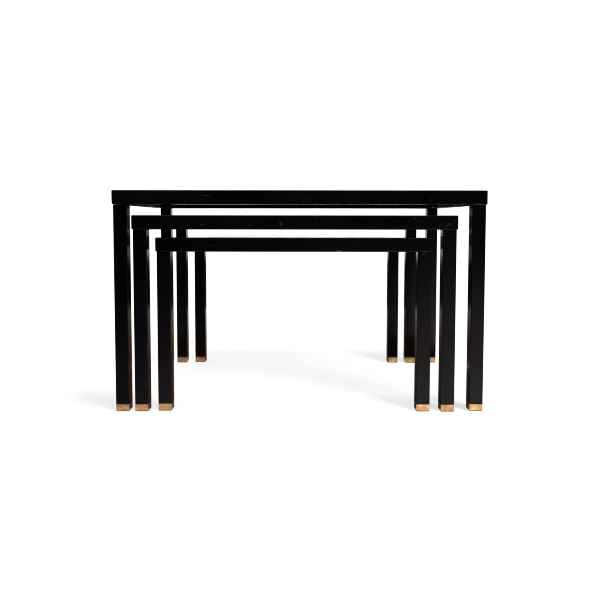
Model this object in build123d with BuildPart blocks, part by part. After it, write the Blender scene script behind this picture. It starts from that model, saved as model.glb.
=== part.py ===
from build123d import *
import math
import os

# Set of three nesting tables. Every table is built alike: a frame of four rails
# doweled at the corners, a thin top let flush into a rebate of the frame, four
# square legs bolted up under the frame corners, and a brass cup on each foot.
# Millimetres, +Z up, the front of the set faces -Y. The origin is on the floor
# at the middle of the outer table, the frame of which is the largest outline.

os.makedirs("parts", exist_ok=True)

# ---- driving dimensions ----------------------------------------------------

# prefix: width over the legs, height, then where the table stands in the nest:
# sideways, front-to-back, and turned about +Z in degrees
TABLES = {
    "outer": dict(width=686.0, height=412.0, dx=0.0, dy=0.0, turn=0.0),
    "middle": dict(width=596.0, height=366.0, dx=-8.2, dy=-2.1, turn=-0.25),
    "inner": dict(width=508.0, height=325.0, dx=-8.5, dy=0.9, turn=-0.56),
}
depth = 441.0            # over the legs, the same on all three tables

leg = 25.0               # square leg section
leg_ease = 1.4           # radius on the long edges of the legs
rail_height = 26.0
rail_width = 30.0
proud = 2.0              # the rails stand proud of the legs all round
rail_ease = 1.5          # radius on the outer edges of the frame

rebate_width = 10.0      # ledge that the top rests on
panel_thick = 12.0
panel_gap = 0.2          # hairline round the top

cap_height = 14.0        # brass cup on the foot
cap_wall = 1.0
cap_floor = 1.5
cap_ease = 1.4           # radius on the upright edges of the cup
cap_foot_ease = 1.0      # radius round its lower edge
tenon_gap = 0.05         # between the leg's end and the inside of the cup

bolt_r = 4.0             # M8 hanger bolt
bolt_in_leg = 34.0
bolt_in_rail = 10.0
insert_r = 6.0           # threaded insert
insert_length = 12.0

dowel_r = 3.0
dowel_in_face = 8.0      # in the side of the front or rear rail
dowel_in_end = 18.0      # in the end of the side rail
dowel_edge = 8.0         # dowel axes from the outer and inner faces of the rail
dowel_rise = 6.5         # dowel axes above the underside of the rail

screw_r = 1.75
screw_head_r = 3.5
screw_head_high = 1.7
screw_in_panel = 8.0
slip = 0.05              # radial clearance round fasteners


def build_table(prefix, width, height, dx, dy, turn):
    """Make and write the pieces of one table."""
    base = Plane(
        origin=(dx, dy, 0),
        x_dir=(math.cos(math.radians(turn)), math.sin(math.radians(turn)), 0),
        z_dir=(0, 0, 1),
    )
    side_to_side = Axis(base.origin, base.x_dir)
    front_to_back = Axis(base.origin, base.y_dir)
    half_w = width / 2 + proud           # outer faces of the frame
    half_d = depth / 2 + proud
    under = height - rail_height         # underside of the rails
    ledge = height - panel_thick         # floor of the rebate
    panel_w = 2 * (half_w - rail_width + rebate_width)
    panel_d = 2 * (half_d - rail_width + rebate_width)
    leg_x = width / 2 - leg / 2
    leg_y = depth / 2 - leg / 2
    # from below: x as on the table, y reversed
    from_below = Plane(
        origin=base.offset(under).origin, x_dir=base.x_dir, z_dir=-base.z_dir
    )
    ledge_mid_x = half_w - rail_width + rebate_width / 2
    ledge_mid_y = half_d - rail_width + rebate_width / 2
    long_screws = [-0.34 * width, 0.0, 0.34 * width]

    def keep(part, node):
        name = prefix + "_" + node
        part.label = name
        export_step(part, "parts/" + name + ".step")

    # ---- front and rear rails, full width ----------------------------------
    for node, side in (("front_rail", -1), ("rear_rail", 1)):
        with BuildPart() as cross_rail:
            with BuildSketch(base.offset(under)):
                with Locations((0, side * (half_d - rail_width / 2))):
                    Rectangle(2 * half_w, rail_width)
            extrude(amount=rail_height)
            # ease the outer uprights and the outer edges, above and below
            outside = (
                cross_rail.faces()
                .filter_by(front_to_back)
                .sort_by(front_to_back)[-1 if side > 0 else 0]
            )
            eased = outside.edges()
            for end in cross_rail.faces().filter_by(side_to_side):
                eased += end.edges().filter_by(front_to_back)
            fillet(eased, rail_ease)
            # rebate for the top, stopped short of the ends
            with BuildSketch(base.offset(ledge)):
                Rectangle(panel_w, panel_d)
            extrude(amount=panel_thick + 1, mode=Mode.SUBTRACT)
            # blind holes for the leg inserts, from below
            with Locations(from_below):
                with Locations((-leg_x, -side * leg_y), (leg_x, -side * leg_y)):
                    Hole(insert_r + slip, insert_length + 0.5)
            # countersunk holes through the ledge
            with Locations(from_below):
                with Locations(*[(x, -side * ledge_mid_y) for x in long_screws]):
                    CounterSinkHole(screw_r + 0.35, screw_head_r + slip, depth=rail_height)
            # blind dowel holes in the inner side
            inner_side = Plane(
                origin=base.offset(under + dowel_rise)
                .from_local_coords(Vector(0, side * (half_d - rail_width), 0)),
                x_dir=base.x_dir,
                z_dir=-side * base.y_dir,
            )
            with Locations(inner_side):
                with Locations(
                    *[
                        (s * (half_w - e), 0)
                        for s in (-1, 1)
                        for e in (dowel_edge, rail_width - dowel_edge)
                    ]
                ):
                    Hole(dowel_r + slip, dowel_in_face + 0.5)
        keep(cross_rail.part, node)

    # ---- side rails, between the front and rear rails ----------------------
    for node, side in (("left_rail", -1), ("right_rail", 1)):
        with BuildPart() as side_rail:
            with BuildSketch(base.offset(under)):
                with Locations((side * (half_w - rail_width / 2), 0)):
                    Rectangle(rail_width, 2 * (half_d - rail_width))
            extrude(amount=rail_height)
            outside = (
                side_rail.faces()
                .filter_by(side_to_side)
                .sort_by(side_to_side)[-1 if side > 0 else 0]
            )
            fillet(outside.edges().filter_by(front_to_back), rail_ease)
            with BuildSketch(base.offset(ledge)):
                Rectangle(panel_w, panel_d)
            extrude(amount=panel_thick + 1, mode=Mode.SUBTRACT)
            with Locations(from_below):
                with Locations((side * ledge_mid_x, 0)):
                    CounterSinkHole(screw_r + 0.35, screw_head_r + slip, depth=rail_height)
            for end in (-1, 1):
                end_face = Plane(
                    origin=base.offset(under + dowel_rise)
                    .from_local_coords(Vector(0, end * (half_d - rail_width), 0)),
                    x_dir=base.x_dir,
                    z_dir=end * base.y_dir,
                )
                with Locations(end_face):
                    with Locations(
                        *[
                            (side * (half_w - e), 0)
                            for e in (dowel_edge, rail_width - dowel_edge)
                        ]
                    ):
                        Hole(dowel_r + slip, dowel_in_end + 0.5)
        keep(side_rail.part, node)

    # ---- dowels across the four corner joints -------------------------------
    with BuildPart() as rail_dowels:
        for end in (-1, 1):
            seam = Plane(
                origin=base.offset(under + dowel_rise)
                .from_local_coords(Vector(0, end * (half_d - rail_width + dowel_in_face), 0)),
                x_dir=base.x_dir,
                z_dir=-end * base.y_dir,
            )
            with BuildSketch(seam):
                with Locations(
                    *[
                        (s * (half_w - e), 0)
                        for s in (-1, 1)
                        for e in (dowel_edge, rail_width - dowel_edge)
                    ]
                ):
                    Circle(dowel_r)
            extrude(amount=dowel_in_face + dowel_in_end)
        chamfer(rail_dowels.edges().filter_by(GeomType.CIRCLE), 0.6)
    keep(rail_dowels.part, "rail_dowels")

    # ---- top, flush in the rebate -------------------------------------------
    with BuildPart() as top_panel:
        with BuildSketch(base.offset(ledge)):
            Rectangle(panel_w - 2 * panel_gap, panel_d - 2 * panel_gap)
        extrude(amount=panel_thick)
        chamfer(top_panel.faces().sort_by(Axis.Z)[-1].edges(), 0.3)
        with Locations(Plane(origin=base.offset(ledge).origin, x_dir=base.x_dir, z_dir=-base.z_dir)):
            with Locations(
                *[(x, s * ledge_mid_y) for x in long_screws for s in (-1, 1)],
                (-ledge_mid_x, 0),
                (ledge_mid_x, 0),
            ):
                Hole(screw_r + slip, screw_in_panel + 0.5)
    keep(top_panel.part, "top_panel")

    # ---- screws up through the ledge into the top ---------------------------
    with BuildPart() as panel_screws:
        spots = [(x, s * ledge_mid_y) for x in long_screws for s in (-1, 1)]
        spots += [(-ledge_mid_x, 0), (ledge_mid_x, 0)]
        with BuildSketch(base.offset(under + 0.2)):
            with Locations(*spots):
                Circle(screw_r)
        extrude(amount=rail_height - panel_thick + screw_in_panel - 0.2)
        with Locations(base.offset(under + 0.2 + screw_head_high / 2)):
            with Locations(*spots):
                Cone(screw_head_r - 0.2, screw_r, screw_head_high)
        # cross slot in each head
        with BuildSketch(base.offset(under + 0.2)):
            with Locations(*spots):
                Rectangle(3.6, 0.8)
                Rectangle(0.8, 3.6)
        extrude(amount=1.0, mode=Mode.SUBTRACT)
    keep(panel_screws.part, "panel_screws")

    # ---- threaded inserts in the rails --------------------------------------
    corners = [(sx * leg_x, sy * leg_y) for sy in (-1, 1) for sx in (-1, 1)]
    with BuildPart() as leg_inserts:
        with BuildSketch(base.offset(under + 0.2)):
            with Locations(*corners):
                Circle(insert_r)
                Circle(bolt_r + slip, mode=Mode.SUBTRACT)
        extrude(amount=insert_length)
    keep(leg_inserts.part, "leg_inserts")

    # ---- hanger bolts, half in the leg and half in the insert ---------------
    with BuildPart() as leg_bolts:
        with BuildSketch(base.offset(under - bolt_in_leg)):
            with Locations(*corners):
                Circle(bolt_r)
        extrude(amount=bolt_in_leg + bolt_in_rail)
        chamfer(leg_bolts.edges().filter_by(GeomType.CIRCLE), 0.8)
    keep(leg_bolts.part, "leg_bolts")

    # ---- legs ----------------------------------------------------------------
    feet = {
        "front_left": (-leg_x, -leg_y),
        "front_right": (leg_x, -leg_y),
        "rear_left": (-leg_x, leg_y),
        "rear_right": (leg_x, leg_y),
    }
    tenon = leg - 2 * cap_wall - 2 * tenon_gap
    for corner, spot in feet.items():
        with BuildPart() as table_leg:
            with BuildSketch(base.offset(cap_height)):
                with Locations(spot):
                    RectangleRounded(leg, leg, leg_ease)
            extrude(amount=under - cap_height)
            # end turned down to fit the cup
            with BuildSketch(base.offset(cap_floor + tenon_gap)):
                with Locations(spot):
                    RectangleRounded(tenon, tenon, 0.7)
            extrude(amount=cap_height - cap_floor - tenon_gap)
            with Locations(base.offset(under)):
                with Locations(spot):
                    Hole(bolt_r + slip, bolt_in_leg + 0.5)
        keep(table_leg.part, "leg_" + corner)

        with BuildPart() as foot_cap:
            with BuildSketch(base):
                with Locations(spot):
                    RectangleRounded(leg, leg, cap_ease)
            extrude(amount=cap_height)
            fillet(foot_cap.faces().sort_by(Axis.Z)[0].edges(), cap_foot_ease)
            with BuildSketch(base.offset(cap_floor)):
                with Locations(spot):
                    RectangleRounded(leg - 2 * cap_wall, leg - 2 * cap_wall, 0.7)
            extrude(amount=cap_height, mode=Mode.SUBTRACT)
        keep(foot_cap.part, "foot_cap_" + corner)


for table, numbers in TABLES.items():
    build_table(table, **numbers)
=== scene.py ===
import math

import bmesh
import bpy
import numpy as np
from mathutils import Matrix, Vector, noise


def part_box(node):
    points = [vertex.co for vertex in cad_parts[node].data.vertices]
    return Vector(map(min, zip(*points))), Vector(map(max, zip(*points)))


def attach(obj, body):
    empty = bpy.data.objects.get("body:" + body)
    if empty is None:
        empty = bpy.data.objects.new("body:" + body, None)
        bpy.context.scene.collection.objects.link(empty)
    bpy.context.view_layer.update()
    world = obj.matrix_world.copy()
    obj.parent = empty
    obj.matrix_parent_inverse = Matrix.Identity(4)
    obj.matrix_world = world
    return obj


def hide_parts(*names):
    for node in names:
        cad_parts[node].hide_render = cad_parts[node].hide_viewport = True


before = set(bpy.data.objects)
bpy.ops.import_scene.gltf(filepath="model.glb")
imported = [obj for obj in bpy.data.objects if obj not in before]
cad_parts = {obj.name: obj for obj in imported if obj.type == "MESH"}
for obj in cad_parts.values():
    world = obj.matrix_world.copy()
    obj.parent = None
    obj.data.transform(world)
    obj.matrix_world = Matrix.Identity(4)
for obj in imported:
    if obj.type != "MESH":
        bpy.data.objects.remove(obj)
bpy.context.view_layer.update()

MM = 0.001
TABLES = ("outer", "middle", "inner")
CORNERS = ("front_left", "front_right", "rear_left", "rear_right")


# ---------------------------------------------------------------------------
# where each table stands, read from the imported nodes
# ---------------------------------------------------------------------------

def middle_of(node):
    lo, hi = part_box(node)
    return (lo + hi) / 2


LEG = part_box("outer_leg_front_left")[1].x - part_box("outer_leg_front_left")[0].x
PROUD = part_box("outer_front_rail")[1].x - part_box("outer_leg_front_right")[1].x
RAIL_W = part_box("outer_front_rail")[1].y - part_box("outer_front_rail")[0].y
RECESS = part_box("outer_front_rail")[1].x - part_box("outer_top_panel")[1].x  # frame edge to top's edge
GAP = 0.2 * MM


class Table:
    """A table's own frame: x across, y to the back, z up, from the floor under its middle."""

    def __init__(self, name):
        self.name = name
        foot = {c: middle_of(f"{name}_foot_cap_{c}") for c in CORNERS}
        across = foot["front_right"] - foot["front_left"]
        back = foot["rear_left"] - foot["front_left"]
        centre = sum(foot.values(), Vector()) / 4
        self.turn = math.atan2(across.y, across.x)
        self.matrix = Matrix.Translation((centre.x, centre.y, 0)) @ Matrix.Rotation(self.turn, 4, "Z")
        self.leg_x, self.leg_y = across.length / 2, back.length / 2
        self.half_w = self.leg_x + LEG / 2 + PROUD
        self.half_d = self.leg_y + LEG / 2 + PROUD
        self.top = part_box(f"{name}_top_panel")[1].z
        self.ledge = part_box(f"{name}_top_panel")[0].z
        self.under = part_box(f"{name}_front_rail")[0].z
        self.cap_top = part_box(f"{name}_foot_cap_front_left")[1].z

    def corner(self, c):
        return (
            self.leg_x if c.endswith("right") else -self.leg_x,
            self.leg_y if c.startswith("rear") else -self.leg_y,
        )


tables = {t: Table(t) for t in TABLES}


# ---------------------------------------------------------------------------
# mesh building
# ---------------------------------------------------------------------------

ARC = [math.tan(math.radians(a)) for a in (0, 9, 18, 27, 36, 45)]
SHORT_ARC = [0.0, 1.0]      # eased edges of a few tenths of a millimetre


def lines(lo, hi, r_lo, r_hi, step):
    """Grid lines along one axis: a rounded edge gets an arc of lines, with a supporting line beside it."""
    left = [lo + r_lo * (1 - t) for t in reversed(ARC if r_lo > 0.4 * MM else SHORT_ARC)] if r_lo else [lo]
    right = [hi - r_hi * (1 - t) for t in (ARC if r_hi > 0.4 * MM else SHORT_ARC)] if r_hi else [hi]
    a, b = left[-1] + 0.35 * MM, right[0] - 0.35 * MM
    n = max(1, round((b - a) / step))
    inner = [a + (b - a) * i / n for i in range(n + 1)]
    return np.array(left + inner + right)


def rounded_box(lo, hi, r_lo, r_hi, steps):
    """A closed box of quads with rounded edges. Each face has its own radius, which may be 0 for a sharp edge."""
    lo, hi, r_lo, r_hi = (np.array(v, float) for v in (lo, hi, r_lo, r_hi))
    grid = [lines(lo[a], hi[a], r_lo[a], r_hi[a], steps[a]) for a in range(3)]
    size = [len(g) for g in grid]
    ids, points, faces = {}, [], []

    def vertex(i):
        if i not in ids:
            ids[i] = len(points)
            points.append([grid[a][i[a]] for a in range(3)])
        return ids[i]

    for axis in range(3):
        u, v = (axis + 1) % 3, (axis + 2) % 3
        for side in (0, size[axis] - 1):
            for i in range(size[u] - 1):
                for j in range(size[v] - 1):
                    quad = []
                    for di, dj in ((0, 0), (1, 0), (1, 1), (0, 1)):
                        k = [0, 0, 0]
                        k[axis], k[u], k[v] = side, i + di, j + dj
                        quad.append(vertex(tuple(k)))
                    faces.append(quad if side else quad[::-1])
    p = np.array(points)
    c = np.clip(p, lo + r_lo, hi - r_hi)
    d = p - c
    r = np.where(d < 0, r_lo, r_hi)
    s = np.divide(d, r, out=np.zeros_like(d), where=r > 0)
    most, length = np.abs(s).max(1), np.linalg.norm(s, axis=1)
    scale = np.divide(most, length, out=np.ones(len(p)), where=length > 1e-9)
    return c + s * scale[:, None] * r, faces


def lathe(centre, axis, profile, segments=28):
    """A closed turned solid: profile is (distance along axis, radius), from end to end."""
    z = Vector(axis).normalized()
    x = z.orthogonal().normalized()
    y = z.cross(x)
    points, faces = [], []
    for h, r in profile:
        for k in range(segments):
            a = 2 * math.pi * k / segments
            points.append(Vector(centre) + z * h + (x * math.cos(a) + y * math.sin(a)) * r)
    n = len(profile)
    for i in range(n - 1):
        for k in range(segments):
            m = (k + 1) % segments
            faces.append([i * segments + k, i * segments + m, (i + 1) * segments + m, (i + 1) * segments + k])
    faces.append(list(range(segments))[::-1])
    faces.append([(n - 1) * segments + k for k in range(segments)])
    return np.array([tuple(p) for p in points]), faces


def joined(parts):
    points, faces, base = [], [], 0
    for p, f in parts:
        points.append(p)
        faces += [[i + base for i in q] for q in f]
        base += len(p)
    return np.concatenate(points), faces


def new_object(name, points, faces):
    mesh = bpy.data.meshes.new(name)
    mesh.from_pydata([tuple(p) for p in points], [], faces)
    mesh.validate()
    mesh.update()
    obj = bpy.data.objects.new(name, mesh)
    bpy.context.scene.collection.objects.link(obj)
    return obj


def boolean(obj, points, faces, operation="DIFFERENCE"):
    """Cuts a closed solid out of obj, or adds it, and keeps the result."""
    tool = new_object(obj.name + "_tool", points, faces)
    mod = obj.modifiers.new("cut", "BOOLEAN")
    mod.operation, mod.solver, mod.object = operation, "MANIFOLD", tool
    dg = bpy.context.evaluated_depsgraph_get()
    result = bpy.data.meshes.new_from_object(obj.evaluated_get(dg))
    obj.modifiers.clear()
    old, obj.data = obj.data, result
    result.name = obj.name
    bpy.data.meshes.remove(old)
    tool_mesh = tool.data
    bpy.data.objects.remove(tool)
    bpy.data.meshes.remove(tool_mesh)


def wear_down(points, faces, lo, hi, seed, radius, wave=0.05 * MM, nick=0.22 * MM):
    """Moves points inwards only: slow waves on the flats, and rubbed, nicked edges."""
    obj = new_object("scratch", points, faces)
    normals = np.zeros(len(points) * 3, np.float32)
    obj.data.vertex_normals.foreach_get("vector", normals)
    normals = normals.reshape(-1, 3)
    mesh = obj.data
    bpy.data.objects.remove(obj)
    bpy.data.meshes.remove(mesh)
    near = np.minimum(points - np.array(lo), np.array(hi) - points)
    second = np.sort(near, axis=1)[:, 1]
    out = points.copy()
    for i, p in enumerate(points):
        q = Vector(p) + Vector((seed * 3.1, seed * 1.7, seed * 0.6))
        depth = wave * (0.5 + 0.5 * noise.noise(q * 11))
        if second[i] < radius:
            edge = 1 - second[i] / radius
            a = max(0.0, noise.noise(q * 34) - 0.05)
            b = max(0.0, noise.noise(q * 120 + Vector((9, 3, 5))) - 0.25)
            depth += edge * nick * (1.2 * a + 1.6 * b)
        out[i] = p - normals[i] * depth
    return out


def soft_corner(points, x0, z0, radius):
    """Knocks the sharp corner off a rail's lower left end: the corner in the x-z plane is drawn back onto an arc."""
    out = points.copy()
    q = np.stack([points[:, 0] - x0 - radius, points[:, 2] - z0 - radius], 1)
    inside = (q < 0).all(1)
    length = np.linalg.norm(q, axis=1)
    k = np.where(inside & (length > radius), radius / np.maximum(length, 1e-9), 1.0)
    out[:, 0] = np.where(inside, x0 + radius + q[:, 0] * k, out[:, 0])
    out[:, 2] = np.where(inside, z0 + radius + q[:, 1] * k, out[:, 2])
    return out


def tidy(mesh):
    """Welds the slivers that the cuts leave and splits the many-sided faces, by the largest gap that keeps the mesh closed."""
    for gap in (20e-6, 10e-6, 5e-6, 2e-6, 1e-6, 0.5e-6):
        for method in ("BEAUTY", "EAR_CLIP"):
            bm = bmesh.new()
            bm.from_mesh(mesh)
            bmesh.ops.remove_doubles(bm, verts=bm.verts, dist=gap)
            bmesh.ops.dissolve_degenerate(bm, edges=bm.edges, dist=gap)
            bmesh.ops.triangulate(bm, faces=[f for f in bm.faces if len(f.verts) > 4], ngon_method=method)
            closed = all(e.is_manifold and e.is_contiguous for e in bm.edges) and all(v.is_manifold for v in bm.verts)
            if closed:
                bm.to_mesh(mesh)
            bm.free()
            if closed:
                return gap, method
    return 0.0, "as cut"


def finish_mesh(obj, table, lo, hi, long_axis, seed, material):
    """Moves the piece from its table's frame to the row's, and stores what its material reads: how far each point is from the faces of
    its box in mm, its place on the table in metres, and its place along and across the grain."""
    mesh = obj.data
    tidy(mesh)
    mesh.materials.clear()
    mesh.materials.append(material)
    co = np.zeros(len(mesh.vertices) * 3, np.float32)
    mesh.vertices.foreach_get("co", co)
    co = co.reshape(-1, 3).astype(float)
    near = np.minimum(co - np.array(lo), np.array(hi) - co) * 1000
    order = {"x": (0, 1, 2), "y": (1, 0, 2), "z": (2, 0, 1)}[long_axis]
    grain = co[:, order] + np.array([seed * 1.37, seed * 0.71, seed * 0.43])
    for name, values in (("dist", near), ("loc", co), ("grain", grain)):
        layer = mesh.attributes.new(name, "FLOAT_VECTOR", "POINT")
        layer.data.foreach_set("vector", values.astype(np.float32).ravel())
    mesh.transform(table.matrix)
    mesh.polygons.foreach_set("use_smooth", [True] * len(mesh.polygons))
    mesh.set_sharp_from_angle(angle=math.radians(34))
    mesh.update()
    for p in mesh.polygons:
        p.material_index = 0
    return obj


# ---------------------------------------------------------------------------
# node helpers
# ---------------------------------------------------------------------------

class Nodes:
    """Short names for building a node tree."""

    def __init__(self, tree):
        self.t = tree
        tree.nodes.clear()

    def new(self, kind, **settings):
        n = self.t.nodes.new(kind)
        for k, v in settings.items():
            setattr(n, k, v)
        return n

    def put(self, socket, value):
        if isinstance(value, bpy.types.NodeSocket):
            self.t.links.new(value, socket)
        elif value is not None:
            socket.default_value = value

    def math(self, op, a, b=None, c=None, clamp=False):
        n = self.new("ShaderNodeMath", operation=op, use_clamp=clamp)
        for s, v in zip(n.inputs, (a, b, c)):
            self.put(s, v)
        return n.outputs[0]

    def vec(self, op, a, b=None, scale=None):
        n = self.new("ShaderNodeVectorMath", operation=op)
        self.put(n.inputs[0], a)
        if b is not None:
            self.put(n.inputs[1], b)
        if scale is not None:
            self.put(n.inputs["Scale"], scale)
        return n.outputs["Value"] if op in ("LENGTH", "DOT_PRODUCT", "DISTANCE") else n.outputs["Vector"]

    def attribute(self, name):
        n = self.new("ShaderNodeAttribute", attribute_type="GEOMETRY", attribute_name=name)
        return n.outputs["Vector"]

    def split(self, v):
        n = self.new("ShaderNodeSeparateXYZ")
        self.put(n.inputs[0], v)
        return n.outputs

    def join(self, x, y, z):
        n = self.new("ShaderNodeCombineXYZ")
        for s, v in zip(n.inputs, (x, y, z)):
            self.put(s, v)
        return n.outputs[0]

    def noise(self, v, scale, detail=2.0, rough=0.5, distortion=0.0):
        n = self.new("ShaderNodeTexNoise", noise_dimensions="3D")
        self.put(n.inputs["Vector"], v)
        for k, x in (("Scale", scale), ("Detail", detail), ("Roughness", rough), ("Distortion", distortion)):
            n.inputs[k].default_value = x
        return n.outputs["Fac"]

    def voronoi(self, v, scale, feature="F1"):
        n = self.new("ShaderNodeTexVoronoi", feature=feature)
        self.put(n.inputs["Vector"], v)
        n.inputs["Scale"].default_value = scale
        return n.outputs["Distance"]

    def smooth(self, v, a, b, lo=0.0, hi=1.0):
        n = self.new("ShaderNodeMapRange", interpolation_type="SMOOTHSTEP")
        for s, x in zip(n.inputs, (v, a, b, lo, hi)):
            self.put(s, x)
        return n.outputs[0]

    def linear(self, v, a, b, lo=0.0, hi=1.0):
        n = self.new("ShaderNodeMapRange", interpolation_type="LINEAR")
        for s, x in zip(n.inputs, (v, a, b, lo, hi)):
            self.put(s, x)
        return n.outputs[0]

    def mix(self, f, a, b):
        n = self.new("ShaderNodeMix", data_type="RGBA")
        self.put(n.inputs["Factor"], f)
        self.put(n.inputs["A"] if False else n.inputs[6], a)
        self.put(n.inputs[7], b)
        return n.outputs[2]

    def ramp(self, f, stops):
        n = self.new("ShaderNodeValToRGB")
        self.put(n.inputs[0], f)
        e = n.color_ramp.elements
        while len(e) < len(stops):
            e.new(0.5)
        for k, (pos, col) in zip(e, stops):
            k.position, k.color = pos, (*col, 1)
        return n.outputs["Color"]

    def bump(self, height, strength, distance, normal=None):
        n = self.new("ShaderNodeBump")
        n.inputs["Strength"].default_value = strength
        n.inputs["Distance"].default_value = distance
        self.put(n.inputs["Height"], height)
        if normal is not None:
            self.put(n.inputs["Normal"], normal)
        return n.outputs["Normal"]


def material(name):
    m = bpy.data.materials.new(name)
    m.use_nodes = True
    return m, Nodes(m.node_tree)


def principled(n, colour, rough, normal, metallic=0.0, specular=0.5, **more):
    p = n.new("ShaderNodeBsdfPrincipled")
    n.put(p.inputs["Base Color"], colour)
    n.put(p.inputs["Roughness"], rough)
    if normal is not None:
        n.put(p.inputs["Normal"], normal)
    p.inputs["Metallic"].default_value = metallic
    p.inputs["Specular IOR Level"].default_value = specular
    for k, v in more.items():
        p.inputs[k].default_value = v
    out = n.new("ShaderNodeOutputMaterial")
    n.t.links.new(p.outputs[0], out.inputs["Surface"])
    return p


def edge_distance(n):
    """Millimetres from the nearest edge of the piece: the second smallest distance to its box's faces."""
    a, b, c = n.split(n.attribute("dist"))[:3]
    return n.math("MAXIMUM", n.math("MINIMUM", a, b), n.math("MINIMUM", n.math("MAXIMUM", a, b), c))


def marks(n, spots, facing):
    """Rubbed and chipped spots on the front of a piece, and painted highlight lines along a rail's lower edge. Each is
    x, z, half length, half height in mm on the table, a turn in degrees and a strength.
    """
    loc = n.attribute("loc")
    x, y, z = n.split(loc)[:3]
    wobble = n.noise(loc, 420.0, 3.0, 0.65)
    total = None
    for sx, sz, rx, rz, turn, strength in spots:
        c, s = math.cos(math.radians(turn)), math.sin(math.radians(turn))
        dx = n.math("SUBTRACT", x, sx * MM)
        dz = n.math("SUBTRACT", z, sz * MM)
        u = n.math("MULTIPLY", n.math("MULTIPLY_ADD", dx, c, n.math("MULTIPLY", dz, s)), 1 / (rx * MM))
        v = n.math("MULTIPLY", n.math("MULTIPLY_ADD", dz, c, n.math("MULTIPLY", dx, -s)), 1 / (rz * MM))
        r = n.math("SQRT", n.math("MULTIPLY_ADD", u, u, n.math("MULTIPLY", v, v)))
        r = n.math("MULTIPLY_ADD", n.math("SUBTRACT", wobble, 0.5), 2.2, r)
        m = n.smooth(r, 1.0, 0.45, 0.0, strength)
        total = m if total is None else n.math("MAXIMUM", total, m)
    return n.math("MULTIPLY", total, n.smooth(y, facing + 1.6 * MM, facing + 0.8 * MM))


# ---------------------------------------------------------------------------
# materials
# ---------------------------------------------------------------------------

def lacquer(name, spots=None, facing=0.0, worn=1.0, gloss=0.0, top=None):
    """Black lacquer on wood: near black, slightly uneven, rubbed through to brown primer along the edges, with fine scratches."""
    m, n = material(name)
    grain = n.attribute("grain")
    g = n.split(grain)
    along = n.join(n.math("MULTIPLY", g[0], 0.06), g[1], g[2])
    edge = edge_distance(n)

    cloud = n.noise(grain, 7.0, 3.0, 0.55)
    patch = n.noise(grain, 26.0, 3.0, 0.6)
    fine = n.noise(grain, 900.0, 2.0, 0.6)
    pores = n.noise(along, 700.0, 2.0, 0.6)
    base = n.ramp(cloud, [(0.30, (0.0008, 0.0008, 0.0018)), (0.50, (0.0012, 0.0011, 0.0015)), (0.70, (0.0027, 0.0015, 0.0014))])

    # rubbed edges: a thin broken line, wider where the patch noise is high
    width = n.smooth(patch, 0.44, 0.68, 0.35, 1.5)
    ragged = n.math("MULTIPLY_ADD", n.math("SUBTRACT", fine, 0.5), 1.3, edge)
    rubbed = n.math("MULTIPLY", n.smooth(n.math("DIVIDE", ragged, width), 1.0, 0.35), 0.50 * worn)
    through = n.math("MULTIPLY", n.smooth(patch, 0.60, 0.72), rubbed)
    colour = n.mix(rubbed, base, (0.009, 0.0068, 0.0055, 1))
    colour = n.mix(through, colour, (0.085, 0.050, 0.030, 1))

    # hairline scratches, in two directions
    warp = n.vec("ADD", along, n.vec("SCALE", n.join(n.noise(grain, 3.0), n.noise(grain, 4.0), n.noise(grain, 5.0)), scale=0.02))
    hair_a = n.smooth(n.noise(warp, 420.0, 1.0, 0.5), 0.70, 0.74)
    cross = n.join(g[0], n.math("MULTIPLY", g[1], 0.10), n.math("MULTIPLY", g[2], 0.10))
    hair_b = n.smooth(n.noise(cross, 520.0, 1.0, 0.5), 0.72, 0.76)
    sparse = n.smooth(n.noise(grain, 14.0, 2.0), 0.52, 0.68)
    hair = n.math("MULTIPLY", n.math("MAXIMUM", hair_a, hair_b), sparse)
    colour = n.mix(n.math("MULTIPLY", hair, 0.35), colour, (0.030, 0.027, 0.025, 1))

    # dust specks
    speck = n.smooth(n.voronoi(grain, 210.0), 0.10, 0.05)
    speck = n.math("MULTIPLY", speck, n.smooth(n.noise(grain, 31.0, 1.0), 0.62, 0.72))
    colour = n.mix(n.math("MULTIPLY", speck, 0.4), colour, (0.060, 0.055, 0.050, 1))

    # finger marks and dulled patches
    smear = n.smooth(n.noise(n.vec("MULTIPLY", grain, (6.0, 14.0, 14.0)), 1.0, 4.0, 0.6, 0.6), 0.46, 0.66)
    rough = n.linear(cloud, 0.3, 0.7, 0.115 - 0.065 * gloss, 0.175 - 0.110 * gloss)
    rough = n.math("MULTIPLY_ADD", smear, 0.06 - 0.045 * gloss, rough)
    if top is not None:      # the upper face of the frame is polished with the top
        rough = n.math("MULTIPLY", rough, n.smooth(n.split(n.attribute("loc"))[2], top - 0.7 * MM, top - 0.2 * MM, 1.0, 0.42))
    rough = n.math("MULTIPLY_ADD", rubbed, 0.08, rough)
    rough = n.math("MULTIPLY_ADD", hair, 0.14, rough, clamp=True)

    height = n.math("MULTIPLY_ADD", n.noise(grain, 90.0, 2.0, 0.5), 0.22 - 0.12 * gloss, n.math("MULTIPLY", pores, 0.022))
    height = n.math("MULTIPLY_ADD", hair, -0.10, height)
    height = n.math("MULTIPLY_ADD", through, -0.5, height)
    if spots:
        # chips and rubbed spots lighten, roughen and dent the lacquer; the thin lines along the lower edge are painted
        # highlights
        chips_and_painted_highlights = marks(n, spots, facing)
        colour = n.mix(n.smooth(chips_and_painted_highlights, 0.06, 1.0), colour, (0.150, 0.140, 0.130, 1))
        rough = n.math("MULTIPLY_ADD", chips_and_painted_highlights, 0.35, rough, clamp=True)
        height = n.math("MULTIPLY_ADD", chips_and_painted_highlights, -0.8, height)
    normal = n.bump(height, 0.35, 0.06 * MM)
    principled(n, colour, rough, normal, specular=0.52)
    return m


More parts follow.
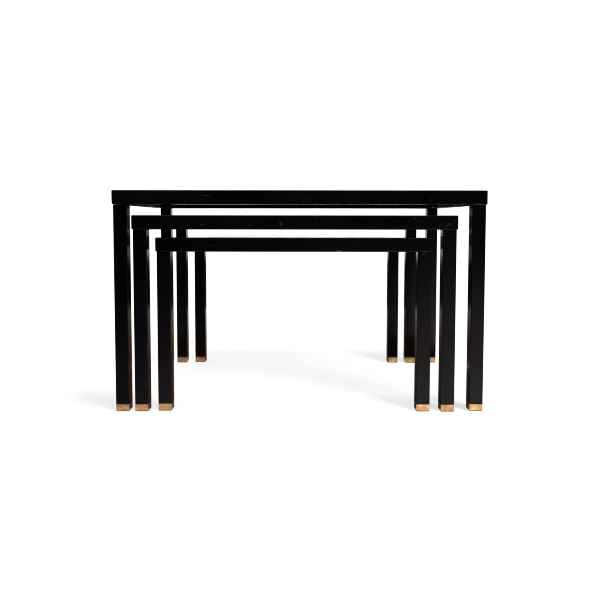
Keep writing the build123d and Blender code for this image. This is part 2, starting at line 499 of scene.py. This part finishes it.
def brass(name):
    """Aged brass: warm, mottled, with horizontal rub marks and brighter rubbed edges; darker along the top edge next to
    the wood, and painted contact shade along the bottom next to the floor.
    """
    m, n = material(name)
    grain = n.attribute("grain")
    loc = n.split(n.attribute("loc"))
    g = n.split(grain)
    edge = edge_distance(n)
    mottle = n.noise(grain, 80.0, 3.0, 0.50, 0.5)
    across = n.join(g[0], n.math("MULTIPLY", g[1], 0.12), n.math("MULTIPLY", g[2], 0.12))
    streak = n.noise(across, 420.0, 3.0, 0.6)
    tone = n.math("MULTIPLY_ADD", n.math("SUBTRACT", streak, 0.5), 0.45, mottle)
    colour = n.ramp(tone, [(0.26, (0.59, 0.385, 0.195)), (0.44, (0.71, 0.490, 0.272)), (0.58, (0.80, 0.573, 0.334)), (0.78, (0.90, 0.700, 0.445))])
    # painted shade: the bottom 1 to 3 mm of each cap, next to the floor, is mixed towards dark grey-brown, made rougher
    # and kept from the bright edges
    low = n.smooth(n.math("MULTIPLY_ADD", n.math("SUBTRACT", mottle, 0.5), 1.6 * MM, loc[2]), 2.9 * MM, 1.2 * MM)
    # darker along the top edge, next to the wood: the top millimetre is mixed towards dark brown and made rougher
    high = n.smooth(loc[2], 12.7 * MM, 13.6 * MM)
    colour = n.mix(n.math("MULTIPLY", low, n.linear(mottle, 0.3, 0.7, 0.45, 0.65)), colour, (0.165, 0.145, 0.120, 1))
    dark = n.math("MULTIPLY", high, n.linear(mottle, 0.3, 0.7, 0.80, 1.0))
    colour = n.mix(dark, colour, (0.115, 0.055, 0.024, 1))
    dark = n.math("MAXIMUM", dark, low)
    spot = n.smooth(n.noise(grain, 480.0, 2.0, 0.6), 0.63, 0.72)
    colour = n.mix(n.math("MULTIPLY", spot, 0.30), colour, (0.40, 0.235, 0.110, 1))
    bright = n.math("MULTIPLY", n.smooth(edge, 0.9, 0.2), n.smooth(mottle, 0.35, 0.6, 0.15, 0.75))
    bright = n.math("MULTIPLY", bright, n.math("SUBTRACT", 1.0, low))
    colour = n.mix(bright, colour, (0.96, 0.75, 0.485, 1))
    rough = n.linear(mottle, 0.3, 0.7, 0.38, 0.25)
    rough = n.math("MULTIPLY_ADD", dark, 0.18, rough, clamp=True)
    height = n.math("MULTIPLY_ADD", streak, 0.25, n.math("MULTIPLY", mottle, 0.7))
    height = n.math("MULTIPLY_ADD", spot, -0.4, height)
    principled(n, colour, rough, n.bump(height, 0.4, 0.08 * MM), metallic=1.0)
    return m


def steel():
    """Zinc-plated steel, seen only in the screw heads under the tops."""
    m, n = material("zinc_steel")
    co = n.new("ShaderNodeTexCoord").outputs["Object"]
    cloud = n.noise(co, 240.0, 3.0, 0.6)
    fine = n.noise(co, 1600.0, 2.0, 0.6)
    colour = n.ramp(cloud, [(0.3, (0.28, 0.26, 0.22)), (0.5, (0.50, 0.49, 0.46)), (0.72, (0.62, 0.62, 0.60))])
    colour = n.mix(n.smooth(fine, 0.56, 0.68), colour, (0.20, 0.15, 0.10, 1))
    rough = n.linear(fine, 0.3, 0.7, 0.30, 0.48)
    principled(n, colour, rough, n.bump(fine, 0.4, 0.05 * MM), metallic=1.0)
    return m


def beech():
    """Bare beech of the dowels inside the corner joints."""
    m, n = material("bare_beech")
    co = n.new("ShaderNodeTexCoord").outputs["Object"]
    c = n.split(co)
    along = n.join(c[0], n.math("MULTIPLY", c[1], 0.08), c[2])
    ring = n.noise(along, 380.0, 3.0, 0.6)
    fleck = n.smooth(n.noise(along, 1400.0, 2.0, 0.6), 0.58, 0.66)
    colour = n.ramp(ring, [(0.3, (0.42, 0.25, 0.13)), (0.55, (0.58, 0.39, 0.22)), (0.75, (0.66, 0.48, 0.30))])
    colour = n.mix(n.math("MULTIPLY", fleck, 0.5), colour, (0.30, 0.16, 0.08, 1))
    rough = n.linear(ring, 0.3, 0.7, 0.62, 0.5)
    principled(n, colour, rough, n.bump(ring, 0.5, 0.08 * MM))
    return m


# ---------------------------------------------------------------------------
# camera: the photograph's viewpoint, in front and a little above half height
# ---------------------------------------------------------------------------

cam = bpy.data.cameras.new("camera")
cam_obj = bpy.data.objects.new("camera", cam)
bpy.context.scene.collection.objects.link(cam_obj)
bpy.context.scene.camera = cam_obj
cam.sensor_fit = "HORIZONTAL"
cam.sensor_width = 36.0
cam.lens = 648.93 / 600 * 36.0
cam.shift_y = (258.87 - 300.0) / 600
PITCH, YAW, ROLL = 0.06044, 0.00373, -0.00100
forward = Vector((math.sin(YAW) * math.cos(PITCH), math.cos(YAW) * math.cos(PITCH), -math.sin(PITCH)))
right = Vector((math.cos(YAW), -math.sin(YAW), 0.0))
down = forward.cross(right)
right2 = math.cos(ROLL) * right + math.sin(ROLL) * down
down2 = -math.sin(ROLL) * right + math.cos(ROLL) * down
rotation = Matrix((right2, -down2, -forward)).transposed()
cam_obj.matrix_world = Matrix.Translation((-0.00386, -1.41605, 0.35827)) @ rotation.to_4x4()
cam.clip_start, cam.clip_end = 0.05, 60.0


# ---------------------------------------------------------------------------
# the pieces
# ---------------------------------------------------------------------------

# worn spots on the fronts, and painted highlight lines along the front rails' lower edges, in mm on each table: x, z,
# half length, half height, turn, strength
FRONT_SPOTS = {
    # outer: the last two, thin lines along the rail's lower edge near the right leg, are painted highlights
    "outer": [(-171.6, 402, 10, 0.9, 0, 0.30), (-239, 409.8, 7, 1.0, 0, 0.25), (-136.8, 411.2, 1.6, 0.9, 0, 0.8), (92, 410.6, 9, 0.7, 0, 0.35),
              (30, 386.4, 3.2, 1.0, 0, 0.75), (239.8, 396.5, 1.2, 6.0, -8, 0.28), (-270.5, 392.4, 5.0, 1.6, 0, 0.18), (297.8, 386.6, 8.0, 0.7, 0, 0.35), (331, 386.6, 12, 0.9, 0, 0.60)],
    # middle: the last two, thin lines along the rail's lower edge over the legs, are painted highlights
    "middle": [(-169, 349.5, 5.0, 0.9, 0, 0.35), (-83, 348.3, 2.6, 1.8, 30, 0.36), (-44.4, 361.1, 2.0, 1.4, 0, 0.30), (-25.4, 351.1, 4.2, 7.0, 20, 0.26), (-24.0, 349.0, 2.4, 3.4, 10, 0.38),
               (40, 363.1, 4.0, 1.4, 0, 0.22), (220.4, 360.5, 3.4, 2.0, -25, 0.27), (231.5, 354.1, 2.6, 2.6, 0, 0.24), (226, 357.5, 3.0, 0.9, -40, 0.20),
               (266.4, 346.8, 5.0, 2.0, 10, 0.24), (283.7, 349.6, 4.6, 4.4, 20, 0.26), (278, 345.5, 5.0, 1.5, 30, 0.20), (290, 345, 5, 1.0, 0, 0.20),
               (295.6, 354.2, 3.0, 3.0, 0, 0.20), (-284, 340.9, 12, 0.8, 0, 0.30), (280, 340.9, 13, 0.8, 0, 0.32)],
    # inner: the last two, thin lines along the rail's lower edge over the legs, are painted highlights
    "inner": [(83.1, 300.4, 7.6, 1.1, 0, 0.95), (-151, 310.5, 9.0, 3.0, 12, 0.16), (-141.7, 314.2, 4.0, 2.2, 0, 0.18), (-104.8, 322.6, 4.0, 0.9, 0, 0.25),
              (-126, 311, 3.5, 1.2, -20, 0.16), (70, 309, 2.0, 1.0, 0, 0.2), (-241, 299.8, 12, 0.7, 0, 0.30), (241, 299.8, 12, 0.7, 0, 0.32)],
}
LEG_SPOTS = {
    "inner_front_left": [(-245, 32, 2.6, 0.8, 20, 0.20)],
    "inner_front_right": [(240.8, 295.4, 4.6, 1.8, 0, 0.42), (238.8, 88.1, 2.0, 1.6, 40, 0.38), (246.3, 78.7, 3.6, 1.0, 25, 0.30), (243, 75.0, 1.4, 1.4, 0, 0.26),
                          (238.2, 61.6, 1.3, 3.0, -30, 0.36), (247.7, 41.8, 4.6, 0.8, 0, 0.32), (238.7, 20.9, 2.4, 1.0, 0, 0.34)],
    "outer_front_right": [(320.8, 31.9, 3.2, 2.0, 30, 0.34), (326, 24, 1.6, 1.4, 0, 0.28), (331.6, 57.5, 1.4, 1.0, 0, 0.25)],
    "outer_front_left": [(-331.9, 362.7, 1.1, 1.8, 0, 0.45), (-334, 348, 1.1, 1.6, 0, 0.42)],
    "middle_front_left": [(-270, 36, 1.2, 2.0, 0, 0.25)],
    "middle_front_right": [(268.5, 337.0, 2.4, 3.2, 30, 0.50), (274.4, 330.3, 1.2, 3.0, 10, 0.35), (266.5, 322, 0.9, 9.0, 4, 0.42), (270.5, 338.0, 3.0, 1.2, 0, 0.45)],
}

LACQUER = lacquer("lacquer_plain")
TOP_LACQUER = lacquer("lacquer_top", worn=0.8, gloss=0.92)
FRAME_LACQUER = {name: lacquer(f"lacquer_{name}_frame", top=t.top) for name, t in tables.items()}
BRASS = brass("aged_brass")
STEEL, BEECH = steel(), beech()

seed = 0
for name, t in tables.items():
    # ---- legs and brass feet ------------------------------------------------
    for c in CORNERS:
        cx, cy = t.corner(c)
        seed += 1
        h = LEG / 2
        lo, hi = (cx - h, cy - h, t.cap_top), (cx + h, cy + h, t.under)
        p, f = rounded_box(lo, hi, (1.4 * MM, 1.4 * MM, 0.25 * MM), (1.4 * MM, 1.4 * MM, 0.8 * MM), (6 * MM, 6 * MM, 5 * MM))
        p = wear_down(p, f, lo, hi, seed, 1.6 * MM)
        leg = new_object(f"{name}_leg_{c}_lacquered", p, f)
        tenon = h - 1.05 * MM
        tp, tf = rounded_box((cx - tenon, cy - tenon, 1.6 * MM), (cx + tenon, cy + tenon, t.cap_top + 6 * MM),
                             (0.7 * MM,) * 3, (0.7 * MM,) * 3, (8 * MM, 8 * MM, 8 * MM))
        boolean(leg, tp, tf, "UNION")
        hp, hf = lathe((cx, cy, t.under - 34.5 * MM), (0, 0, 1), [(0, 4.05 * MM), (36 * MM, 4.05 * MM)], 32)
        boolean(leg, hp, hf)
        spots = LEG_SPOTS.get(f"{name}_{c}")
        mat = lacquer(f"lacquer_{name}_leg_{c}", spots, cy - h) if spots else LACQUER
        finish_mesh(leg, t, lo, hi, "z", seed, mat)
        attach(leg, f"{name}_table")
        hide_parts(f"{name}_leg_{c}")

        seed += 1
        lo, hi = (cx - h, cy - h, 0.0), (cx + h, cy + h, t.cap_top)
        p, f = rounded_box(lo, hi, (1.4 * MM, 1.4 * MM, 1.7 * MM), (1.4 * MM, 1.4 * MM, 0.25 * MM), (2.2 * MM, 2.2 * MM, 1.6 * MM))
        p = wear_down(p, f, lo, hi, seed, 1.6 * MM, wave=0.10 * MM, nick=0.30 * MM)
        p[:, 2] = np.where(p[:, 2] < 0.12 * MM, 0.0, p[:, 2])
        cap = new_object(f"{name}_foot_cap_{c}_brass", p, f)
        inner = h - 1.0 * MM
        ip, jf = rounded_box((cx - inner, cy - inner, 1.5 * MM), (cx + inner, cy + inner, t.cap_top + 4 * MM),
                             (0.7 * MM, 0.7 * MM, 0.3 * MM), (0.7 * MM, 0.7 * MM, 0.0), (8 * MM, 8 * MM, 8 * MM))
        boolean(cap, ip, jf)
        finish_mesh(cap, t, lo, hi, "z", seed, BRASS)
        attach(cap, f"{name}_table")
        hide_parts(f"{name}_foot_cap_{c}")

    # ---- frame rails ----------------------------------------------------------
    half_pw, half_pd = t.half_w - RECESS + GAP, t.half_d - RECESS + GAP     # the recess that the top lies in
    recess = rounded_box((-half_pw, -half_pd, t.ledge), (half_pw, half_pd, t.top + 5 * MM), (0, 0, 0), (0, 0, 0), (1, 1, 1))
    long_screws = [middle_of(f"{name}_panel_screws").x * 0 + k * 2 * (t.half_w - PROUD) for k in (-0.34, 0.0, 0.34)]
    mid_x, mid_y = half_pw - 5 * MM, half_pd - 5 * MM
    EASE = 1.5 * MM

    def countersink(x, y):
        return lathe((x, y, t.under), (0, 0, 1), [(-1 * MM, 4.42 * MM), (0.0, 3.55 * MM), (1.67 * MM, 2.1 * MM), (t.ledge - t.under + 1 * MM, 2.1 * MM)], 28)

    for node, side in (("front_rail", -1), ("rear_rail", 1)):
        seed += 1
        y_out, y_in = side * t.half_d, side * (t.half_d - RAIL_W)
        lo = (-t.half_w, min(y_out, y_in), t.under)
        hi = (t.half_w, max(y_out, y_in), t.top)
        ry_lo, ry_hi = (EASE, 0.0) if side < 0 else (0.0, EASE)
        p, f = rounded_box(lo, hi, (EASE, ry_lo, EASE), (EASE, ry_hi, EASE), (6 * MM, 6 * MM, 6 * MM))
        p = wear_down(p, f, lo, hi, seed, 1.8 * MM, wave=0.03 * MM)
        if node == "front_rail":
            p = soft_corner(p, lo[0], lo[2], 4.0 * MM if name == "outer" else 2.4 * MM)
        rail = new_object(f"{name}_{node}_lacquered", p, f)
        boolean(rail, *recess)
        holes = [countersink(x, side * mid_y) for x in long_screws]
        holes += [lathe((s * t.leg_x, side * t.leg_y, t.under - 1 * MM), (0, 0, 1), [(0, 6.05 * MM), (13.5 * MM, 6.05 * MM)], 32) for s in (-1, 1)]
        holes += [lathe((s * (t.half_w - e * MM), y_in - side * 1 * MM, t.under + 6.5 * MM), (0, side, 0), [(0, 3.05 * MM), (9.5 * MM, 3.05 * MM)], 24)
                  for s in (-1, 1) for e in (8, 22)]
        boolean(rail, *joined(holes))
        mat = lacquer(f"lacquer_{name}_front", FRONT_SPOTS[name], -t.half_d, top=t.top) if side < 0 else FRAME_LACQUER[name]
        finish_mesh(rail, t, lo, hi, "x", seed, mat)
        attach(rail, f"{name}_table")
        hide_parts(f"{name}_{node}")

    for node, side in (("left_rail", -1), ("right_rail", 1)):
        seed += 1
        x_out, x_in = side * t.half_w, side * (t.half_w - RAIL_W)
        y_end = t.half_d - RAIL_W
        lo = (min(x_out, x_in), -y_end, t.under)
        hi = (max(x_out, x_in), y_end, t.top)
        rx_lo, rx_hi = (EASE, 0.0) if side < 0 else (0.0, EASE)
        fine = 0.2 * MM
        p, f = rounded_box(lo, hi, (rx_lo, fine, EASE), (rx_hi, fine, EASE), (6 * MM, 6 * MM, 6 * MM))
        p = wear_down(p, f, lo, hi, seed, 1.8 * MM, wave=0.03 * MM)
        rail = new_object(f"{name}_{node}_lacquered", p, f)
        boolean(rail, *recess)
        holes = [countersink(side * mid_x, 0.0)]
        holes += [lathe((side * (t.half_w - e * MM), s * (y_end + 1 * MM), t.under + 6.5 * MM), (0, -s, 0), [(0, 3.05 * MM), (19.5 * MM, 3.05 * MM)], 24)
                  for s in (-1, 1) for e in (8, 22)]
        boolean(rail, *joined(holes))
        finish_mesh(rail, t, lo, hi, "y", seed, FRAME_LACQUER[name])
        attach(rail, f"{name}_table")
        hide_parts(f"{name}_{node}")

    # ---- top --------------------------------------------------------------------
    seed += 1
    lo = (-half_pw + GAP, -half_pd + GAP, t.ledge)
    hi = (half_pw - GAP, half_pd - GAP, t.top)
    p, f = rounded_box(lo, hi, (0.3 * MM, 0.3 * MM, 0.3 * MM), (0.3 * MM, 0.3 * MM, 0.35 * MM), (9 * MM, 9 * MM, 4 * MM))
    p = wear_down(p, f, lo, hi, seed, 0.5 * MM, wave=0.02 * MM, nick=0.1 * MM)
    panel = new_object(f"{name}_top_panel_lacquered", p, f)
    spots = [(x, s * mid_y) for x in long_screws for s in (-1, 1)] + [(-mid_x, 0), (mid_x, 0)]
    boolean(panel, *joined([lathe((x, y, t.ledge - 1 * MM), (0, 0, 1), [(0, 1.8 * MM), (9.5 * MM, 1.8 * MM)], 20) for x, y in spots]))
    finish_mesh(panel, t, lo, hi, "x", seed, TOP_LACQUER)
    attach(panel, f"{name}_table")
    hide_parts(f"{name}_top_panel")

for node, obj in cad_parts.items():
    if node.endswith("_rail_dowels"):
        finish = BEECH
    elif node.endswith(("_panel_screws", "_leg_bolts", "_leg_inserts")):
        finish = STEEL
    else:
        continue
    for s in obj.material_slots:
        s.material = finish
    if not obj.material_slots:
        obj.data.materials.append(finish)


# ---------------------------------------------------------------------------
# stage: pale floor and soft studio light
# ---------------------------------------------------------------------------

bm = bmesh.new()
bmesh.ops.create_circle(bm, cap_ends=True, radius=14.0, segments=96)
floor_mesh = bpy.data.meshes.new("floor")
bm.to_mesh(floor_mesh)
bm.free()
floor = bpy.data.objects.new("floor", floor_mesh)
bpy.context.scene.collection.objects.link(floor)
floor.location = (0, 0, -0.0002)

m, n = material("floor_paper")
co = n.new("ShaderNodeTexCoord").outputs["Object"]
x, y, z = n.split(co)[:3]
paper = n.new("ShaderNodeBsdfDiffuse")
n.put(paper.inputs["Color"], n.ramp(n.noise(co, 2.0, 2.0), [(0.3, (0.86, 0.86, 0.86)), (0.7, (0.88, 0.88, 0.88))]))
lit = n.new("ShaderNodeEmission")
lit.inputs["Strength"].default_value = 1.04
seen_floor = n.new("ShaderNodeMixShader")
# far from the tables the paper runs out into plain white
out_x = n.math("MAXIMUM", n.math("SUBTRACT", n.math("ABSOLUTE", x), 0.35), 0.0)
out_y = n.math("MAXIMUM", n.math("SUBTRACT", n.math("ABSOLUTE", y), 0.22), 0.0)
d = n.math("SQRT", n.math("MULTIPLY_ADD", out_x, out_x, n.math("MULTIPLY", out_y, out_y)))
wide = n.math("ABSOLUTE", x)
feet = n.math("MULTIPLY", n.smooth(wide, 0.04, 0.20), n.smooth(wide, 0.58, 0.40))
front_band = n.math("MULTIPLY", n.smooth(y, -0.34, -0.24), n.smooth(y, -0.02, -0.15))
rear_band = n.math("MULTIPLY", n.smooth(y, 0.10, 0.17), n.smooth(y, 0.40, 0.26))
rear_band = n.math("MULTIPLY", rear_band, n.math("MAXIMUM", n.smooth(x, -0.24, -0.28, 0.0, 0.35), n.smooth(x, 0.0, 0.10)))
front_band = n.math("MULTIPLY", front_band, n.ramp(n.linear(x, -0.5, 0.5), [(0.10, (0.48,) * 3), (0.70, (0.50,) * 3), (0.78, (0.78,) * 3)]))
feet = n.math("MULTIPLY", feet, n.math("MAXIMUM", front_band, n.math("MULTIPLY", rear_band, 0.55)))
under = n.math("MULTIPLY", n.smooth(wide, 0.36, 0.22), n.math("MULTIPLY", n.smooth(y, -0.16, -0.04), n.smooth(y, 0.42, 0.30)))
feet = n.math("MAXIMUM", feet, n.math("MULTIPLY", under, 0.34))
n.put(seen_floor.inputs[0], n.linear(feet, 0.0, 1.0, 0.97, 0.62))
n.t.links.new(paper.outputs[0], seen_floor.inputs[1])
n.t.links.new(lit.outputs[0], seen_floor.inputs[2])

# painted reflection: for glossy rays the floor glows with what the gloss of the object picks up, by distance out from
# the tables:
# paper close by, then a darker room, brighter to the right
t = n.math("SQRT", n.math("MULTIPLY", d, 1 / 8))
K = 1.4
LEFT_FLOOR_REFLECTION = [(0.02, 0.85, (1, 0.93, 0.97)), (0.127, 0.60, (1, 0.90, 0.98)), (0.209, 0.48, (1, 0.88, 0.98)), (0.302, 0.22, (0.98, 0.86, 1.1)),
              (0.411, 0.10, (0.9, 0.85, 1.2)), (0.576, 0.04, (0.8, 0.8, 1.2)), (0.98, 0.03, (0.8, 0.8, 1.3))]
RIGHT_FLOOR_REFLECTION = [(0.02, 1.20, (1, 0.97, 0.95)), (0.127, 1.35, (1, 0.93, 0.97)), (0.209, 1.15, (1, 0.92, 0.95)), (0.302, 0.98, (1, 0.87, 0.90)),
               (0.411, 0.78, (1, 0.84, 0.84)), (0.576, 0.52, (1, 0.74, 0.70)), (0.98, 0.16, (1, 0.70, 0.62))]
ramps = [n.ramp(t, [(p, tuple(v * c / K for c in tint)) for p, v, tint in stops]) for stops in (LEFT_FLOOR_REFLECTION, RIGHT_FLOOR_REFLECTION)]
side = n.math("DIVIDE", x, n.math("MULTIPLY_ADD", d, 0.3, 0.4))
outermost = n.linear(side, -0.60, -0.84, 1.0, 0.62)
front_floor_reflection = n.mix(n.linear(side, -0.8, 0.8), n.vec("SCALE", ramps[0], scale=outermost), ramps[1])
far_out = n.math("MULTIPLY", n.smooth(t, 0.50, 0.70), n.smooth(side, 0.76, 0.86, 0.0, 0.60))
front_floor_reflection = n.vec("SCALE", front_floor_reflection, scale=n.math("SUBTRACT", 1.0, far_out))
back_floor_reflection = n.ramp(t, [(0.02, (0.29 / K, 0.165 / K, 0.10 / K)), (0.10, (0.33 / K, 0.20 / K, 0.13 / K)), (0.20, (0.38 / K, 0.25 / K, 0.17 / K)),
                        (0.29, (0.44 / K, 0.38 / K, 0.28 / K)), (0.335, (0.60 / K, 0.60 / K, 0.48 / K)), (0.36, (0.04 / K, 0.034 / K, 0.030 / K)),
                        (0.95, (0.02 / K, 0.02 / K, 0.02 / K))])
back_floor_reflection = n.vec("SCALE", back_floor_reflection, scale=n.smooth(x, 0.02, 0.12, 1.0, 0.62))
# painted reflection of a white wall far behind, low over the floor
painted_wall_reflection = n.math("MULTIPLY", n.smooth(d, 3.6, 5.6), n.smooth(n.math("DIVIDE", wide, n.math("MAXIMUM", y, 0.1)), 0.226, 0.212))
back_floor_reflection = n.mix(painted_wall_reflection, back_floor_reflection, (0.90, 0.90, 0.90, 1))
painted_reflection_glow = n.new("ShaderNodeEmission")
n.put(painted_reflection_glow.inputs["Color"], n.mix(n.smooth(y, 0.0, 0.28), front_floor_reflection, back_floor_reflection))
painted_reflection_glow.inputs["Strength"].default_value = K
# painted shade in the reflections: near the tables the floor that glossy rays see is darkened between the legs, warm
# dark brown on the left and darker brown on the right, half diffuse and half glowing
rear_feet = n.math("MULTIPLY", n.math("MAXIMUM", n.smooth(x, -0.230, -0.238), n.smooth(x, 0.222, 0.230)), n.smooth(y, 0.125, 0.14))
between_legs_shade = n.math("MULTIPLY", n.smooth(y, -0.225, -0.19), n.math("SUBTRACT", 1.0, rear_feet))
dim = n.mix(n.smooth(x, -0.05, 0.05), (0.29, 0.165, 0.100, 1), (0.145, 0.112, 0.080, 1))
shade = n.mix(between_legs_shade, (0.93, 0.90, 0.88, 1), dim)
paper_near = n.new("ShaderNodeBsdfDiffuse")
n.put(paper_near.inputs["Color"], shade)
sheen = n.new("ShaderNodeEmission")
n.put(sheen.inputs["Color"], shade)
half = n.new("ShaderNodeMixShader")
half.inputs[0].default_value = 0.5
n.t.links.new(paper_near.outputs[0], half.inputs[1])
n.t.links.new(sheen.outputs[0], half.inputs[2])
near = n.new("ShaderNodeMixShader")
n.put(near.inputs[0], n.smooth(d, 0.0, 0.06))
n.t.links.new(half.outputs[0], near.inputs[1])
n.t.links.new(painted_reflection_glow.outputs[0], near.inputs[2])
path = n.new("ShaderNodeLightPath")
pick = n.new("ShaderNodeMixShader")
n.put(pick.inputs[0], path.outputs["Is Glossy Ray"])
n.t.links.new(seen_floor.outputs[0], pick.inputs[1])
n.t.links.new(near.outputs[0], pick.inputs[2])
out = n.new("ShaderNodeOutputMaterial")
n.t.links.new(pick.outputs[0], out.inputs["Surface"])
floor_mesh.materials.append(m)

world = bpy.data.worlds.new("studio")
bpy.context.scene.world = world
world.use_nodes = True
n = Nodes(world.node_tree)
gen = n.new("ShaderNodeTexCoord").outputs["Generated"]
dx, dy, dz = n.split(gen)[:3]
turn = n.math("ABSOLUTE", n.math("ARCTAN2", dx, dy))
sheet = n.math("MULTIPLY", n.smooth(turn, math.radians(14.5), math.radians(12.5)), n.smooth(dz, -0.034, -0.022))
sheet = n.math("MULTIPLY", sheet, n.smooth(dz, 0.60, 0.20, 0.40, 1.26))
overhead = n.math("MULTIPLY", n.smooth(dz, 0.14, 0.78), n.linear(dx, -0.8, 0.8, 1.2, 2.4))
rightward = n.math("MULTIPLY", n.math("MULTIPLY", n.smooth(dx, 0.35, 0.95), n.smooth(dz, -0.05, 0.10)), 0.35)
ring = n.math("MULTIPLY", n.smooth(dz, 0.09, 0.24), n.linear(dx, -0.9, 0.9, 0.26, 0.42))
level = n.math("MAXIMUM", n.math("MAXIMUM", n.math("MAXIMUM", sheet, overhead), rightward), ring)
dark = n.mix(n.linear(dx, -0.35, 0.35), (0.012, 0.012, 0.050, 1), (0.034, 0.032, 0.032, 1))
dark = n.mix(n.smooth(dy, -0.2, 0.1), dark, (0.050, 0.050, 0.050, 1))
room = n.new("ShaderNodeMix", data_type="RGBA", blend_type="LIGHTEN")
room.inputs[0].default_value = 1.0
n.put(room.inputs[6], dark)
n.put(room.inputs[7], n.join(level, level, level))
path = n.new("ShaderNodeLightPath")
glossy = n.new("ShaderNodeBackground")
n.put(glossy.inputs["Color"], room.outputs[2])
soft = n.new("ShaderNodeBackground")
soft.inputs["Color"].default_value = (1.0, 0.998, 0.995, 1)
strength = n.new("ShaderNodeMix", data_type="FLOAT")
n.put(strength.inputs[0], path.outputs["Is Camera Ray"])
n.t.links.new(n.smooth(dz, 0.35, 0.75, 0.75, 0.30), strength.inputs[2])
strength.inputs[3].default_value = 1.05
n.t.links.new(strength.outputs[0], soft.inputs["Strength"])
pick = n.new("ShaderNodeMixShader")
n.put(pick.inputs[0], path.outputs["Is Glossy Ray"])
n.t.links.new(soft.outputs[0], pick.inputs[1])
n.t.links.new(glossy.outputs[0], pick.inputs[2])
out = n.new("ShaderNodeOutputWorld")
n.t.links.new(pick.outputs[0], out.inputs["Surface"])


def area(name, place, target, size, power, colour=(1, 1, 1)):
    light = bpy.data.lights.new(name, "AREA")
    light.shape, light.size, light.size_y = "RECTANGLE", size[0], size[1]
    light.energy, light.color = power, colour
    obj = bpy.data.objects.new(name, light)
    bpy.context.scene.collection.objects.link(obj)
    obj.location = place
    obj.rotation_euler = (Vector(target) - Vector(place)).to_track_quat("-Z", "Y").to_euler()
    return obj


# the lamp itself isn't mirrored in the polished tops: the world's soft boxes are what the gloss shows
area("key", (1.75, -2.0, 1.75), (0, 0, 0.15), (1.0, 0.9), 130, (1.0, 0.99, 0.975)).visible_glossy = False

bpy.context.scene.cycles.filter_width = 1.0
view = bpy.context.scene.view_settings
view.view_transform = "Standard"
view.look = "None"
view.exposure = 0.0
view.gamma = 0.72
